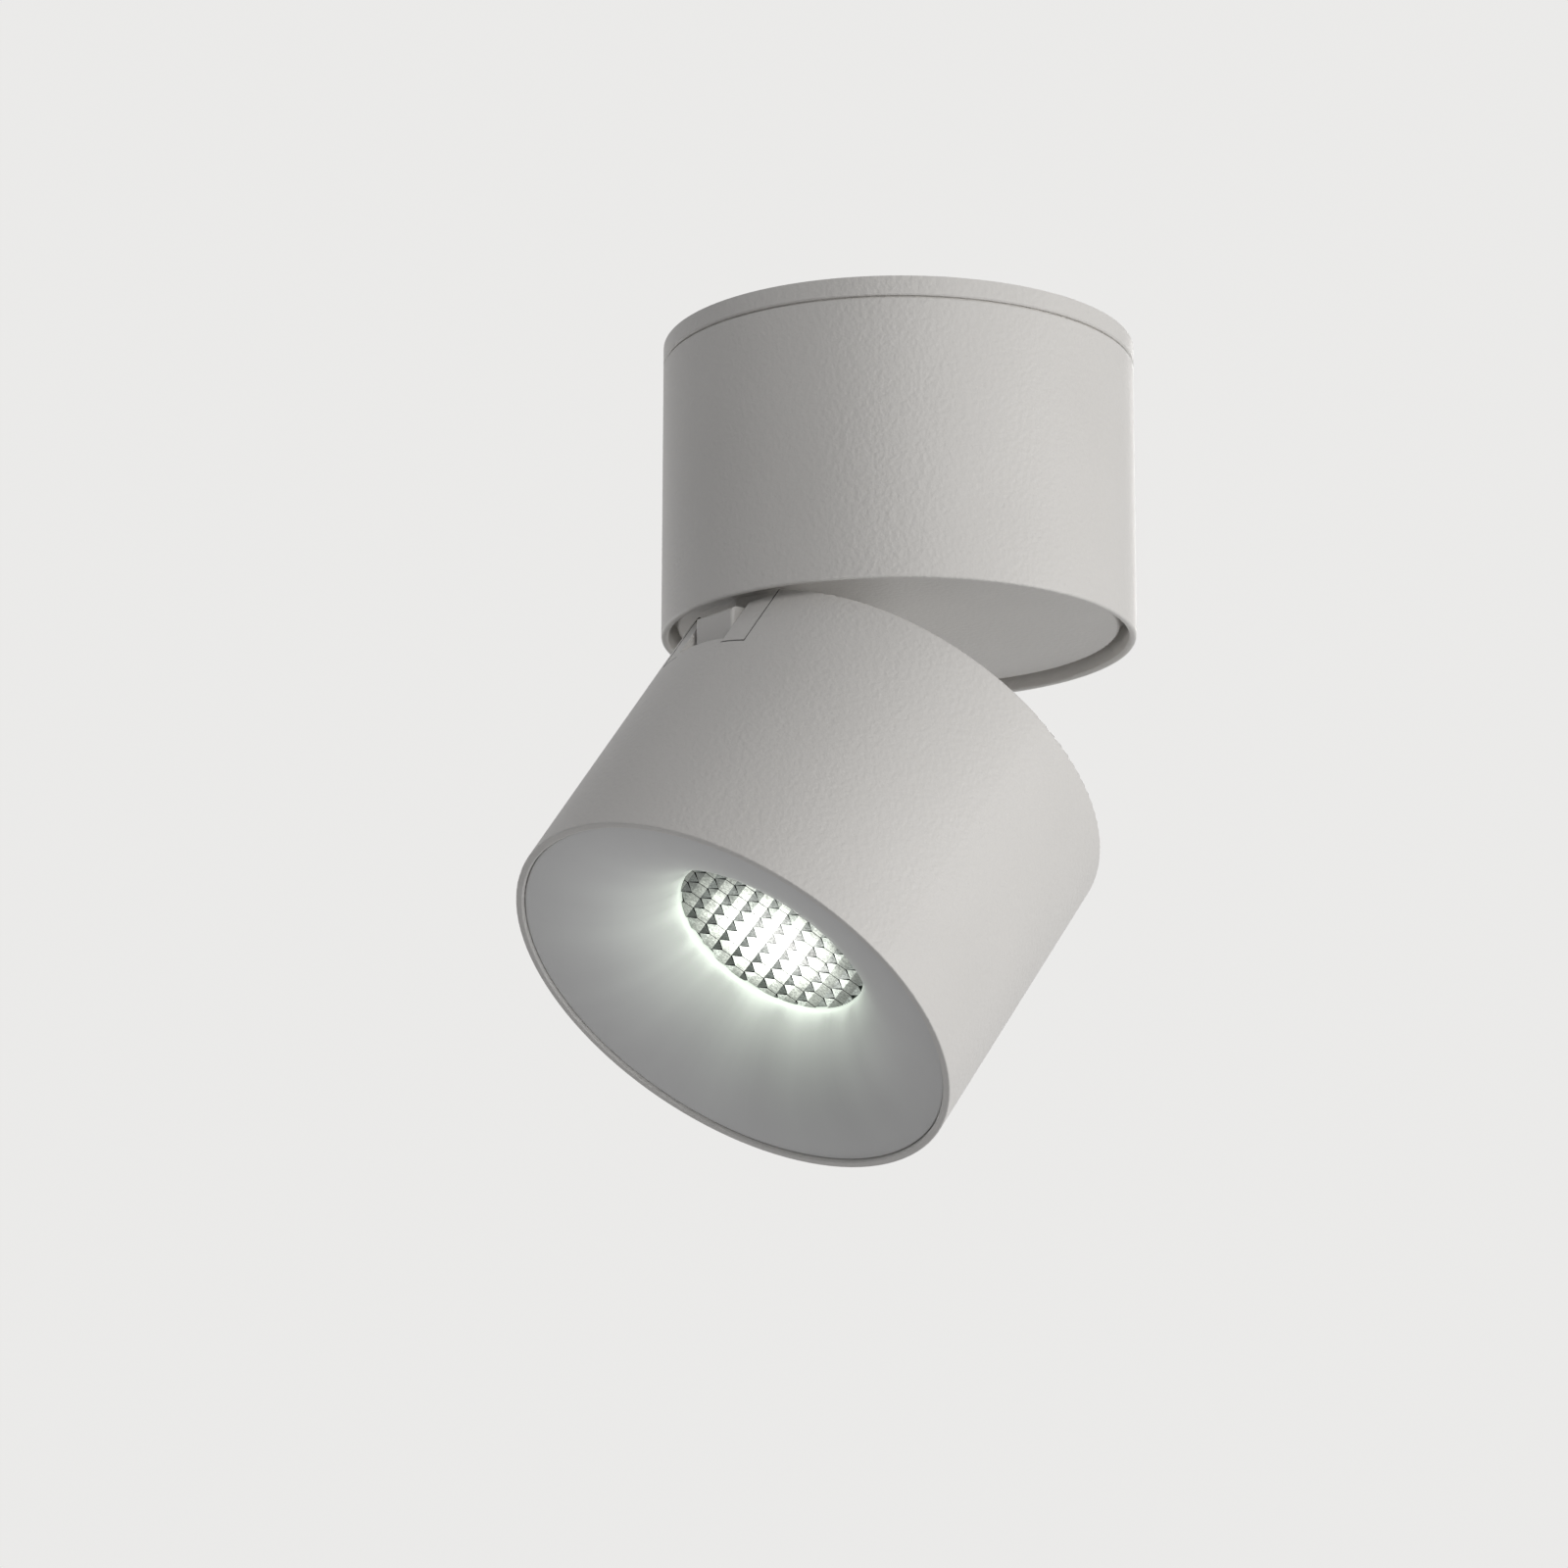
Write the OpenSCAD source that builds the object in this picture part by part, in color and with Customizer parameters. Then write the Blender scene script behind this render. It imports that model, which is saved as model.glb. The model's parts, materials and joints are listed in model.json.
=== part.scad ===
// Surface mounted ceiling spotlight made of two short cylinders of one diameter.
// The upper one is fixed to the ceiling and holds the driver. The lower one holds the light
// and folds out on an offset hinge, while the disc that carries the hinge turns under the body.
// The origin is the centre of the face that meets the ceiling, +Z is up, and the head folds
// out towards -Y.

/* [Overall] */
// Outer diameter of the body and of the head
lamp_d = 100; // [96:1:112]
// Length of the body casing below the shadow groove
body_len = 59.4; // [56:0.2:80]
// Length of the head casing
head_len = 68.5; // [66:0.5:90]
// Gap between the body and the head when the head is folded shut
close_gap = 0.8; // [0.7:0.1:1.5]
// Angle at which the head stands folded out
tilt_at_rest = 36.3; // [0:0.1:90]

/* [Ceiling base] */
// Height of the base ring that meets the ceiling
base_h = 4.1; // [3.4:0.1:8]
// Thickness of the base's floor
base_floor_t = 2.5; // [2:0.1:3]
// Height of the shadow groove between the base and the body casing
groove_h = 0.5; // [0.3:0.1:1.5]
// Depth of the shadow groove
groove_depth = 0.9; // [0.4:0.1:1.5]
// Height of the spigot that the body casing slides over
spigot_h = 8; // [6:0.5:10]
// Wall of the spigot
spigot_t = 2.2; // [1.6:0.1:3]
// Distance between the two ceiling screws
mount_spacing = 66; // [50:1:70]
// Diameter of the holes for the ceiling screws
mount_hole_d = 4.5; // [4:0.1:6]
// Diameter of the hole that the supply cable comes through
cable_hole_d = 14; // [10:0.5:20]
// Diameter of the bayonet pins
bayonet_pin_d = 2.4; // [2:0.1:3]

/* [Body] */
// Wall of the body casing
body_wall = 2.2; // [1.9:0.1:3]
// Wall of the thin rim below the carrier ledge
rim_wall = 1.5; // [1.3:0.1:1.8]
// Depth of the rim, from the ledge to its lower edge
rim_depth = 6; // [5.4:0.1:8]
// Rounding of the casings' visible edges
edge_round = 0.6; // [0.4:0.1:0.7]
// Thickness of the ledge that the carrier plate lies on
ledge_t = 3; // [2:0.2:5]
// Radial width of the ledge
ledge_w = 8; // [7:0.2:10]
// Thickness of the carrier plate
carrier_t = 2.5; // [2:0.1:4]

/* [Turntable] */
// Gap between the turning disc and the body's rim
ring_gap = 1.9; // [1.5:0.1:2.4]
// Thickness of the turning disc
disc_t = 3; // [2.6:0.1:3]
// Depth of the disc's face above the body's lower edge
disc_recess = 2.5; // [2:0.1:2.8]
// Outer diameter of the hollow bolt that the disc turns on
tube_d = 10; // [8:0.5:12]
// Bore of the hollow bolt, for the head's wires
tube_bore_d = 7; // [4:0.5:7]
// Thickness of the thrust washer
thrust_t = 0.5; // [0.3:0.1:1]
// Radius on which the stop pin sits
stop_r = 30; // [26:1:34]
// Diameter of the stop pin
stop_pin_d = 2.4; // [1.6:0.1:2.6]
// Turn each way before the stop pin meets the stop
swivel_range = 175; // [165:1:175]

/* [Hinge] */
// Distance of the hinge axis from the outside of the casings
hinge_inset = 8; // [7.6:0.1:9]
// Distance of the hinge axis below the head's rear edge
hinge_drop = 8; // [7.8:0.1:10]
// Width of the arm that stands in the head's slot
arm_w = 12.6; // [10:0.1:13]
// Rounding of the arm's upright edges
arm_edge_r = 0.8; // [0.4:0.1:1.5]
// Distance from the hinge axis to the knuckle's outer face
knuckle_r = 6.7; // [6:0.1:6.9]
// Distance from the hinge axis out to the neck's outer face; less than 0 lies towards the middle
neck_reach = -1; // [-1.5:0.1:3]
// Height of the knuckle's shoulder above the hinge axis
shoulder_h = 6.9; // [5:0.1:7.2]
// Rounding of the knuckle's shoulder
shoulder_round = 1.2; // [1:0.1:2]
// Diameter of the hinge bolt
hinge_bolt_d = 4; // [3:0.1:5]
// Width of the window between the two hinge cheeks
window_w = 15; // [14:0.1:16]
// Width across the outsides of the two hinge cheeks
cheeks_w = 27; // [26:0.1:29]
// Radius of the cheeks' rounded tops
cheek_r = 8.5; // [7:0.1:8.5]
// Depth of the cheeks' outer faces below the head's rear edge
cheek_depth = 15.3; // [15:0.1:16]
// Depth of the window between the cheeks
window_depth = 14.5; // [14.5:0.1:15]
// Distance from the hinge axis to the wires' way through the rear cover
grommet_offset = 22; // [20:1:28]
// Width of the arm's foot on the disc
foot_w = 16; // [13:0.5:22]
// Length of the arm's foot
foot_len = 30; // [26:0.5:31]
// Thickness of the arm's foot
foot_t = 2.3; // [1.5:0.1:2.4]

/* [Head] */
// Wall of the head casing
head_wall = 1.6; // [1.4:0.1:1.8]
// Distance from the head's front edge to its inner ledge
head_ledge_at = 43; // [42:0.5:46]
// Radial width of the head's inner ledge
head_ledge_w = 8; // [7:0.2:10]
// Depth of the rear cover below the head's rear edge
cover_depth = 3.5; // [3:0.1:4.5]
// Thickness of the rear cover
cover_t = 2.5; // [1.8:0.1:3]
// Wall of the hinge pocket in the rear cover
pocket_wall = 1.5; // [1.2:0.1:2]

/* [Glare trim] */
// Diameter of the opening at the bottom of the trim
aperture_d = 43; // [40:0.5:48]
// Depth of that opening behind the head's front edge
aperture_depth = 17.3; // [14:0.1:20]
// Depth of the trim's outer lip behind the head's front edge
trim_recess = 0.5; // [0.3:0.1:1.5]
// Gap between the trim's lip and the head casing
trim_gap = 0.3; // [0.2:0.1:1]
// Wall of the trim
trim_wall = 1.6; // [1.2:0.1:2.2]
// Rounding of the trim's lip
trim_lip_r = 0.4; // [0.3:0.1:1]

/* [Lens] */
// Diameter of the lens over its flange
lens_d = 54; // [52:0.5:57]
// Thickness of the lens plate
lens_t = 2; // [1.5:0.1:3]
// Distance between neighbouring cells
cell_pitch = 4.7; // [3.8:0.1:6]
// Width of the groove between cells
cell_groove = 0.14; // [0.08:0.02:0.3]
// Height of the cells
cell_h = 0.7; // [0.4:0.1:1.2]
// Drop of each cell's two pointed ends
cell_drop = 0.5; // [0.1:0.1:0.6]
// Direction of the cells' rows
cell_turn = 37.5; // [0:0.5:60]
// Shift of the cells from the lens centre along the rows, as a share of the pitch
cell_shift_along = 0.41; // [0:0.01:1]
// Shift of the cells from the lens centre from row to row, as a share of the pitch
cell_shift_across = 0.24; // [0:0.01:1]

/* [Light engine] */
// Thickness of the heat sink's plate
sink_t = 4; // [3:0.5:5]
// Gap between the heat sink's fins and the rear cover
fin_gap = 5.5; // [5:0.5:10]
// Thickness of one fin
fin_t = 1.4; // [1:0.1:2.5]
// Number of fins
fin_count = 13; // [7:2:15]
// Side of the square LED board
board_w = 24; // [20:0.5:28]
// Thickness of the LED board
board_t = 1; // [0.8:0.1:1.6]
// Diameter of the light emitting surface
chip_d = 17; // [12:0.5:18]
// Thickness of the light emitting layer
chip_t = 0.6; // [0.4:0.1:1]
// Diameter of the LED holder
holder_d = 44; // [40:0.5:48]
// Thickness of the LED holder
holder_t = 2.6; // [2.2:0.1:3.5]

/* [Driver] */
// Length of the driver
driver_l = 72; // [60:1:76]
// Width of the driver
driver_w = 38; // [30:1:44]
// Height of the driver
driver_h = 21; // [16:1:22]
// Thickness of the driver's bracket
bracket_t = 1.5; // [1:0.1:2]
// Height of the bracket's legs above the carrier plate
bracket_h = 13; // [11:0.5:14]

/* [Hidden] */

$fn = 96;
// Overlap that makes a cut run clear through a face
over = 0.01;
// Clearance of pieces that drop into each other
fit_gap = 0.1;
// Radial clearance of a running fit
run_gap = 0.05;
// Radial clearance of a screw in its thread
thread_gap = 0.03;

lamp_r = lamp_d / 2;

// Heights of the fixed body, from the ceiling down
body_top = -(base_h + groove_h);
body_low = body_top - body_len;
ledge_low = body_low + rim_depth;
ledge_top = ledge_low + ledge_t;
carrier_top = ledge_top + carrier_t;
body_in_r = lamp_r - body_wall;
rim_in_r = lamp_r - rim_wall;
ledge_r = lamp_r - ledge_w;
spigot_r = body_in_r - fit_gap;
spigot_low = body_top - spigot_h;

// Heights of the turntable
disc_low = body_low + disc_recess;
disc_top = disc_low + disc_t;
thrust_low = ledge_top - thrust_t;
disc_r = rim_in_r - ring_gap;
tube_r = tube_d / 2;
hub_r = tube_r + 6;
tube_seat = 1.2;
spring_t = 1.5;
nut_t = 4.5;
nut_r = tube_r + 3.2;
stop_play = 0.4;
stop_w = 2 * (stop_r * sin(180 - swivel_range) - stop_pin_d / 2 - stop_play);
tube_top = carrier_top + spring_t + nut_t + 1;

// Heights of the head while it is folded shut, from its front edge up
head_top = body_low - close_gap;
head_front = head_top - head_len;
head_in_r = lamp_r - head_wall;
head_ledge_low = head_front + head_ledge_at;
head_ledge_t = 3;
head_ledge_r = lamp_r - head_ledge_w;
hinge_y = -(lamp_r - hinge_inset);
hinge_z = head_top - hinge_drop;

// Slot in the head casing
cheek_gap = 0.2;
slot_w = cheeks_w + 2 * cheek_gap;
slot_depth = cheek_depth + cheek_gap;

// Stack of the light engine, from the heat sink's front face down
sink_low = head_ledge_low - sink_t;
board_low = sink_low - board_t;
chip_low = board_low - chip_t;
holder_low = sink_low - holder_t;
sink_r = head_in_r - 0.2;
fin_field_r = head_ledge_r - 0.5;
post_r = 3.6;
post_at = fin_field_r - post_r - 1.5;
cover_low = head_top - cover_depth - cover_t;
cover_top = head_top - cover_depth;
cover_r = head_in_r - 0.2;
fin_h = cover_low - head_ledge_low - fin_gap;

// Hinge
pocket_low = window_depth + 0.8;
pocket_floor_t = 0.8;
pocket_gap = 0.5;
hinge_r = hinge_bolt_d / 2;
bolt_head_h = 2.2;
bolt_sink = bolt_head_h + 0.4;
nut_h = 2.5;
washer_r = hinge_r + 3;
nut_sink = nut_h + 0.5;
// Radius round the hinge that the arm's shoulder needs as the head turns past it
shoulder_way = [knuckle_r - shoulder_round, shoulder_h - shoulder_round];
shoulder_way_r = norm(shoulder_way) + shoulder_round + 0.35;
grommet_at = hinge_y + grommet_offset;
grommet_r = 4;
grommet_lip = 1.2;

// Glare trim and lens
aperture_r = aperture_d / 2;
cell_field_r = aperture_r - fit_gap;
trim_r = head_in_r - trim_gap;
trim_low = head_front + trim_recess;
seat_t = 1.6;
seat_z = head_front + aperture_depth + seat_t;
lens_r = lens_d / 2;
lens_top = seat_z + lens_t;
cup_r = lens_r - fit_gap;
cup_wall = 2.4;
cup_floor = 1.8;
collimator_r = lens_r - 4;
collimator_end_r = chip_d / 2 + 0.6;
collimator_top = holder_low - 0.3;

// Fastener sizes
m3_r = 1.5;
m3_head_r = 2.8;
m3_head_h = 1.9;
m2_r = 1.1;
m2_head_r = 2;
m2_head_h = 1.4;

// Screws of the base, the carrier and the bracket
terminal_at = [0, 24];
cable_at = [0, -14];
carrier_screw_at = body_in_r - m3_head_r - 0.2;
sink_screw_at = head_in_r - m3_head_r - 0.2;
bracket_foot_at = driver_w / 2 + 7;
bracket_w = 22;
driver_screw_at = 7;
driver_screw_l = 4.5;
bracket_top = carrier_top + bracket_h;
arm_screw_at = [-(lamp_r - hinge_inset) + 5, -(lamp_r - hinge_inset) + 20];
holder_screw_at = holder_d / 2 - 3.6;

// Angles at which three like pieces sit round the axis
thirds = [30, 150, 270];
cover_thirds = [-30, 90, 210];

// A screw that stands on z = 0 with its head below and its shank above
module screw(shank_r, shank_l, head_r, head_h) {
    difference() {
        union() {
            translate([0, 0, -head_h]) cylinder(h = head_h, r = head_r, $fn = 32);
            translate([0, 0, -over]) cylinder(h = shank_l + over, r = shank_r, $fn = 24);
        }
        translate([0, 0, -head_h - over]) cylinder(h = head_h * 0.6, r = head_r * 0.5, $fn = 6);
    }
}

// The corner that is cut away to round an outline; the outline lies towards (dx, dy)
module corner_cut(at, r, dx, dy) {
    translate(at) difference() {
        translate([dx > 0 ? -over : -r, dy > 0 ? -over : -r]) square(r + over);
        translate([dx * r, dy * r]) circle(r, $fn = 48);
    }
}

// A ring's section from radius r_in to r_out, with its outer and inner lower edges rounded
module ring_section(r_in, r_out, z_low, z_high, low_out, low_in, high_out, high_in) {
    difference() {
        translate([r_in, z_low]) square([r_out - r_in, z_high - z_low]);
        if (low_out > 0) corner_cut([r_out, z_low], low_out, -1, 1);
        if (low_in > 0) corner_cut([r_in, z_low], low_in, 1, 1);
        if (high_out > 0) corner_cut([r_out, z_high], high_out, -1, -1);
        if (high_in > 0) corner_cut([r_in, z_high], high_in, 1, -1);
    }
}

// Like pieces at the given angles on a circle
module around(angles, r) {
    for (a = angles) rotate([0, 0, a]) translate([r, 0, 0]) children();
}

// The head's pieces are drawn folded shut and turned about the hinge to where they hang
module folded_out() {
    translate([0, hinge_y, hinge_z]) rotate([-tilt_at_rest, 0, 0])
        translate([0, -hinge_y, -hinge_z]) children();
}

// A flat outline in the plane across the hinge axis, given as [distance towards the outside,
// height above the axis], drawn out to the width w along the axis
module across_hinge(w) {
    translate([0, hinge_y, hinge_z]) rotate([90, 0, -90]) translate([0, 0, -w / 2])
        linear_extrude(w) children();
}

// Ceiling base

module base_flange() {
    floor_r = body_in_r - fit_gap - spigot_t;
    rib_w = 1.6;
    rib_l = 5;
    edge = 0.3;
    lead_in = 0.5;
    color("whitesmoke") difference() {
        union() {
            rotate_extrude() polygon([
                [0, 0],
                [lamp_r, 0],
                [lamp_r, edge - base_h],
                [lamp_r - edge, -base_h],
                [lamp_r - groove_depth, -base_h],
                [lamp_r - groove_depth, body_top],
                [spigot_r, body_top],
                [spigot_r, spigot_low + lead_in],
                [spigot_r - lead_in, spigot_low],
                [floor_r, spigot_low],
                [floor_r, -base_floor_t],
                [0, -base_floor_t]]);
            around([0, 60, 120, 180, 240, 300], floor_r - rib_l)
                translate([0, -rib_w / 2, -base_h])
                    cube([rib_l + 1, rib_w, base_h - base_floor_t / 2]);
        }
        for (side = [-1, 1]) translate([side * mount_spacing / 2, 0, -base_floor_t - over])
            cylinder(h = base_floor_t + 2 * over, r = mount_hole_d / 2);
        translate([cable_at[0], cable_at[1], -base_floor_t - over])
            cylinder(h = base_floor_t + 2 * over, r = cable_hole_d / 2);
        around(thirds, floor_r - 1) bayonet_slot();
    }
}

// An upright slot that opens at the spigot's edge and a short level one at its end
module bayonet_slot() {
    slot = bayonet_pin_d + 0.4;
    rise = spigot_h / 2 + slot / 2;
    translate([0, -slot / 2, spigot_low - 1]) cube([spigot_t + 2, slot, rise + 1]);
    translate([0, -slot / 2, spigot_low + rise - slot]) cube([spigot_t + 2, 3 * slot, slot]);
}

module cable_grommet() {
    lip = 1.4;
    color("dimgray") translate([cable_at[0], cable_at[1], 0]) rotate_extrude() difference() {
        union() {
            translate([cable_hole_d / 2 - 3, -base_floor_t - lip]) square([3, base_floor_t + lip]);
            translate([cable_hole_d / 2 - 3, -base_floor_t - lip]) square([3 + lip, lip]);
        }
        corner_cut([cable_hole_d / 2 + lip, -base_floor_t - lip], 0.6, -1, 1);
        corner_cut([cable_hole_d / 2 - 3, -base_floor_t - lip], 0.8, 1, 1);
    }
}

module terminal_block() {
    pole_w = 8;
    block_h = 11;
    block_l = 16;
    color("ivory") translate([terminal_at[0], terminal_at[1], -base_floor_t]) difference() {
        union() {
            translate([-1.5 * pole_w, -block_l / 2, -3]) cube([3 * pole_w, block_l, 3]);
            for (pole = [-1, 0, 1]) translate([pole * pole_w, 0, -block_h / 2])
                cube([pole_w - 1, block_l - 2, block_h], center = true);
        }
        for (pole = [-1, 0, 1]) {
            translate([pole * pole_w, block_l / 2, -block_h + 4]) rotate([90, 0, 0])
                cylinder(h = block_l, r = 1.9, $fn = 24);
            for (end = [-1, 1]) translate([pole * pole_w, end * 4, -block_h - over])
                cylinder(h = 2.5, r = 1.7, $fn = 24);
        }
    }
}

module bayonet_pins() {
    pin_z = spigot_low + spigot_h / 2;
    color("silver") around(thirds, body_in_r - spigot_t - fit_gap) translate([0, 0, pin_z])
        rotate([0, 90, 0]) cylinder(h = spigot_t + 1.3, r = bayonet_pin_d / 2, $fn = 32);
}

// Body

module body_casing() {
    pin_z = spigot_low + spigot_h / 2;
    color("whitesmoke") difference() {
        union() {
            rotate_extrude() ring_section(body_in_r, lamp_r, ledge_low, body_top, 0, 0, 0.3, 0.3);
            rotate_extrude() ring_section(rim_in_r, lamp_r, body_low, ledge_low + over,
                edge_round, edge_round, 0, 0);
            rotate_extrude() translate([ledge_r, ledge_low])
                square([body_in_r - ledge_r + over, ledge_t]);
        }
        around(thirds, carrier_screw_at) translate([0, 0, ledge_low - over])
            cylinder(h = ledge_t + 2 * over, r = m3_r + thread_gap, $fn = 32);
        around(thirds, body_in_r - over) translate([0, 0, pin_z]) rotate([0, 90, 0])
            cylinder(h = 1.4, r = bayonet_pin_d / 2 + thread_gap, $fn = 32);
    }
}

module carrier_plate() {
    color("silver") difference() {
        union() {
            translate([0, 0, ledge_top]) cylinder(h = carrier_t, r = body_in_r - 0.2);
            translate([-stop_w / 2, -stop_r - 2.5, disc_top + 0.5])
                cube([stop_w, 5, ledge_top - disc_top - 0.5 + over]);
        }
        translate([0, 0, ledge_top - over])
            cylinder(h = carrier_t + 2 * over, r = tube_r + run_gap);
        around(thirds, carrier_screw_at) translate([0, 0, ledge_top - over])
            cylinder(h = carrier_t + 2 * over, r = m3_r + 0.2, $fn = 32);
        for (side = [-1, 1]) translate([0, side * bracket_foot_at, ledge_top - over])
            cylinder(h = carrier_t + 2 * over, r = m3_r + thread_gap, $fn = 32);
        around([0, 180], stop_r + 4) translate([0, 0, ledge_top - over])
            cylinder(h = carrier_t + 2 * over, r = 4);
    }
}

module carrier_screws() {
    color("silver") around(thirds, carrier_screw_at) translate([0, 0, carrier_top])
        mirror([0, 0, 1]) screw(m3_r, carrier_t + ledge_t, m3_head_r, m3_head_h);
}

module driver_bracket() {
    span = 2 * (driver_w / 2 + 1);
    foot = 11;
    color("silver") difference() {
        union() {
            translate([-bracket_w / 2, -span / 2, bracket_top - bracket_t])
                cube([bracket_w, span, bracket_t]);
            for (side = [-1, 1]) {
                translate([-bracket_w / 2, side * (span - bracket_t) / 2 - bracket_t / 2, carrier_top])
                    cube([bracket_w, bracket_t, bracket_h]);
                translate([-bracket_w / 2, side * (span + foot) / 2 - foot / 2, carrier_top])
                    cube([bracket_w, foot, bracket_t]);
            }
        }
        for (side = [-1, 1]) {
            translate([0, side * bracket_foot_at, carrier_top - over])
                cylinder(h = bracket_t + 2 * over, r = m3_r + 0.2, $fn = 32);
            translate([side * driver_screw_at, 0, bracket_top - bracket_t - over])
                cylinder(h = bracket_t + 2 * over, r = m3_r + 0.2, $fn = 32);
        }
    }
}

module bracket_screws() {
    color("silver") for (side = [-1, 1])
        translate([0, side * bracket_foot_at, carrier_top + bracket_t])
            mirror([0, 0, 1]) screw(m3_r, bracket_t + carrier_t, m3_head_r, m3_head_h);
}

module driver_case() {
    corner = 3;
    color("white") difference() {
        translate([-driver_l / 2, -driver_w / 2, bracket_top]) rounded_block(driver_l, driver_w,
            driver_h, corner);
        for (side = [-1, 1]) translate([side * driver_screw_at, 0, bracket_top - over])
            cylinder(h = driver_screw_l + 0.5, r = m3_r + thread_gap, $fn = 32);
        for (side = [-1, 1]) translate([side * (driver_l / 2 - 5), 0, bracket_top + driver_h / 2])
            rotate([0, 90, 0]) translate([0, 0, -6]) cylinder(h = 12, r = 3, $fn = 32);
        translate([-driver_l / 2 + 6, -driver_w / 2 - over, bracket_top + driver_h - 4])
            cube([driver_l - 12, 0.4, 0.5]);
        translate([-driver_l / 2 + 6, driver_w / 2 - 0.4 + over, bracket_top + driver_h - 4])
            cube([driver_l - 12, 0.4, 0.5]);
    }
}

// A block with rounded upright edges
module rounded_block(l, w, h, r) {
    translate([r, 0, 0]) cube([l - 2 * r, w, h]);
    translate([0, r, 0]) cube([l, w - 2 * r, h]);
    for (x = [r, l - r]) for (y = [r, w - r]) translate([x, y, 0]) cylinder(h = h, r = r, $fn = 48);
}

module driver_screws() {
    color("silver") for (side = [-1, 1])
        translate([side * driver_screw_at, 0, bracket_top - bracket_t])
            screw(m3_r, bracket_t + driver_screw_l, m3_head_r, m3_head_h);
}

// Turntable

module swivel_disc() {
    color("whitesmoke") difference() {
        union() {
            rotate_extrude() ring_section(tube_bore_d / 2, disc_r, disc_low, disc_top, 0.6, 0.3, 0, 0);
            translate([0, 0, disc_top - over]) cylinder(h = thrust_low - disc_top + over, r = hub_r);
        }
        for (y = arm_screw_at) translate([0, y, disc_low - over]) {
            cylinder(h = disc_t + 2 * over, r = m3_r + 0.15, $fn = 32);
            translate([0, 0, disc_t - m3_head_h + over]) cylinder(h = m3_head_h + 1, r = m3_head_r + 0.2);
        }
        translate([0, 0, disc_low + tube_seat])
            cylinder(h = thrust_low - disc_low, r = tube_r + thread_gap);
        translate([0, stop_r, disc_low + 1]) cylinder(h = disc_t, r = stop_pin_d / 2 + thread_gap);
    }
}

module thrust_washer() {
    color("dimgray") rotate_extrude() translate([tube_r + run_gap, thrust_low])
        square([hub_r - 0.5 - tube_r, thrust_t]);
}

module swivel_tube() {
    color("goldenrod") rotate_extrude()
        ring_section(tube_bore_d / 2, tube_r, disc_low + tube_seat, tube_top, 0.5, 0, 0.5, 0);
}

module spring_washer() {
    rise = spring_t - 0.7;
    color("silver") rotate_extrude() polygon([
        [tube_r + run_gap, carrier_top + rise],
        [nut_r, carrier_top],
        [nut_r + 0.6, carrier_top],
        [nut_r + 0.6, carrier_top + 0.7],
        [nut_r, carrier_top + 0.7],
        [tube_r + run_gap, carrier_top + spring_t]]);
}

module swivel_nut() {
    color("goldenrod") translate([0, 0, carrier_top + spring_t]) difference() {
        cylinder(h = nut_t, r = nut_r / cos(30), $fn = 6);
        translate([0, 0, -over]) cylinder(h = nut_t + 2 * over, r = tube_r + thread_gap);
    }
}

module stop_pin() {
    color("silver") translate([0, stop_r, disc_low + 1])
        cylinder(h = ledge_top - 0.7 - disc_low - 1, r = stop_pin_d / 2, $fn = 48);
}

// Hinge

// Side view of the arm: the round knuckle, its shoulder and the neck up to the foot
module arm_outline() {
    foot_at = disc_low - foot_t - hinge_z;
    circle(knuckle_r);
    difference() {
        translate([-knuckle_r, 0]) square([2 * knuckle_r, shoulder_h]);
        corner_cut([knuckle_r, shoulder_h], shoulder_round, -1, -1);
    }
    translate([-knuckle_r, 0]) square([knuckle_r + neck_reach, foot_at + over]);
}

// Plan of the arm, with its two outer corners rounded
module arm_plan() {
    y_out = hinge_y - knuckle_r;
    difference() {
        translate([-arm_w / 2, y_out]) square([arm_w, 2 * knuckle_r]);
        corner_cut([-arm_w / 2, y_out], arm_edge_r, 1, 1);
        corner_cut([arm_w / 2, y_out], arm_edge_r, -1, 1);
    }
}

module hinge_arm() {
    foot_low = disc_low - foot_t;
    foot_r = foot_w / 2;
    foot_start = hinge_y - neck_reach + foot_r;
    foot_end = foot_start + foot_len - 2 * foot_r;
    color("whitesmoke") difference() {
        union() {
            intersection() {
                across_hinge(arm_w) arm_outline();
                translate([0, 0, hinge_z - 2 * knuckle_r])
                    linear_extrude(2 * knuckle_r + disc_low - hinge_z) arm_plan();
            }
            translate([0, 0, foot_low]) {
                for (y = [foot_start, foot_end]) translate([0, y, 0]) cylinder(h = foot_t, r = foot_r);
                translate([-foot_r, foot_start, 0]) cube([foot_w, foot_end - foot_start, foot_t]);
            }
        }
        translate([-arm_w, hinge_y, hinge_z]) rotate([0, 90, 0])
            cylinder(h = 2 * arm_w, r = hinge_r + run_gap);
        for (y = arm_screw_at) translate([0, y, foot_low + 0.6])
            cylinder(h = foot_t, r = m3_r + thread_gap, $fn = 32);
    }
}

module arm_screws() {
    reach = disc_t - m3_head_h + foot_t - 0.8;
    color("silver") for (y = arm_screw_at) translate([0, y, disc_top - m3_head_h])
        mirror([0, 0, 1]) screw(m3_r, reach, m3_head_r, m3_head_h);
}

// Side view of the cheeks down to a depth: round towards the body, square towards the head's inside
module cheek_outline(depth) {
    inner = knuckle_r + pocket_gap + pocket_wall;
    circle(cheek_r);
    translate([-inner, 0]) square([inner, cheek_r]);
    translate([-inner, hinge_drop - depth]) square([inner + hinge_inset, depth - hinge_drop]);
}

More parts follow.
